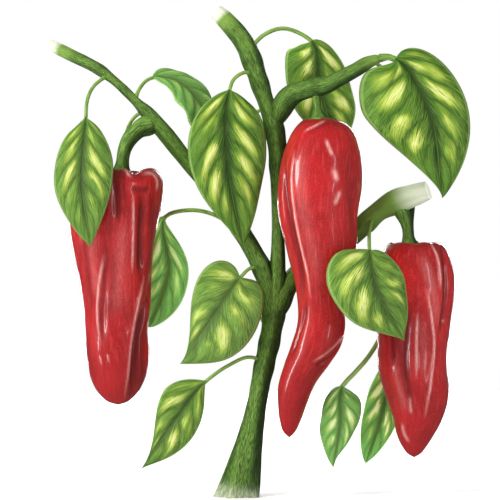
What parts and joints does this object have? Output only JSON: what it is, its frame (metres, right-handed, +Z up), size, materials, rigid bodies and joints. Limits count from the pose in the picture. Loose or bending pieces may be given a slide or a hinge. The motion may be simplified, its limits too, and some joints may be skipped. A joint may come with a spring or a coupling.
{
  "type": "chilli pepper plant",
  "caption": "Upright fruiting chilli pepper plant: a flared main stem with forking boughs, long ripe red fruit hanging from green stalks, and pointed variegated leaves.",
  "frame": {"origin": "centre of the flat cut under the main stem, at ground level", "axes": "+Z up along the standing plant, -Y towards the front of the plant, +X to the right seen from the front"},
  "size_m": [0.2123, 0.1071, 0.2464],
  "materials": {
    "stem": "green skin with fine lengthwise streaks, satin",
    "fruit": "glossy ripe red skin",
    "leaf": "satin, dark along the veins and yellow green between them"
  },
  "bodies": {
    "root": {"main_stem": "stem", "left_bough": "stem", "upper_right_bough": "stem", "right_bough": "stem", "right_twig": "stem", "left_fruit_stalk": "stem", "centre_fruit_stalk": "stem", "right_fruit_stalk": "stem", "left_fruit": "fruit", "centre_fruit": "fruit", "right_fruit": "fruit", "leaf_far_left": "leaf", "leaf_left_arching": "leaf", "leaf_middle": "leaf", "leaf_behind_left_fruit": "leaf", "leaf_fork": "leaf", "leaf_low_left": "leaf", "leaf_top": "leaf", "leaf_upper_right": "leaf", "leaf_between_fruits": "leaf", "leaf_low_right": "leaf", "leaf_behind_right_fruit": "leaf", "leaf_back_centre": "leaf", "leaf_back_left": "leaf", "leaf_back_upper_right": "leaf", "leaf_back_middle": "leaf", "leaf_back_fork": "leaf", "leaf_back_right": "leaf", "leaf_back_low": "leaf"}
  },
  "joints": []
}
